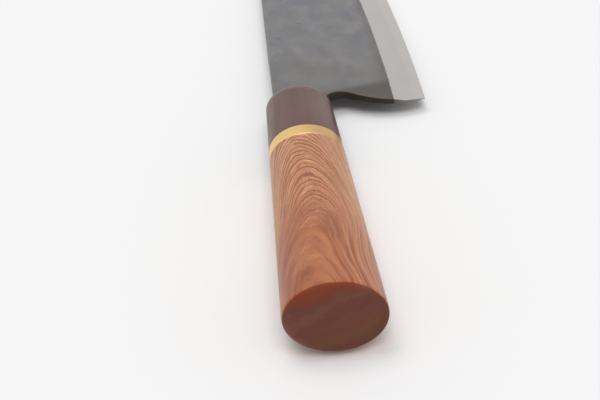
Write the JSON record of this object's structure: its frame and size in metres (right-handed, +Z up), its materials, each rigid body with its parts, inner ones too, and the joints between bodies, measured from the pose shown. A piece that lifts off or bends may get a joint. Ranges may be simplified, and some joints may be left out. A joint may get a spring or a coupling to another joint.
{
  "type": "nakiri knife",
  "caption": "Tall, nearly straight-edged vegetable knife: dark laminated blade with a bright ground bevel, dark wooden ferrule, brass spacer and oval reddish wooden stick handle.",
  "frame": {"origin": "below the middle of the knife's box, level with the lowest line of the handle, the knife lying on its side", "axes": "+X from the butt of the handle to the tip of the blade, +Y from the cutting edge to the spine, +Z up, square to the blade's middle plane"},
  "size_m": [0.2904, 0.0586, 0.0201],
  "materials": {
    "hard_steel": "ground along the bevel, satin",
    "scaled_iron": "dark forge scale left on the flats, satin grinding on the bevel",
    "reddish_wood": "flat-sawn reddish brown wood, sanded and oiled to a satin sheen",
    "dark_wood": "dark purple-brown wood, sanded and oiled",
    "brass": "sanded flush with the wood, satin",
    "plain_wood": "pale dowel wood, left raw",
    "resin": "clear amber epoxy"
  },
  "bodies": {
    "root": {"blade_core": "hard_steel", "cladding_right": "scaled_iron", "cladding_left": "scaled_iron", "ferrule": "dark_wood", "brass_spacer": "brass", "grip": "reddish_wood", "dowel": "plain_wood", "tang_bedding": "resin"}
  },
  "joints": []
}
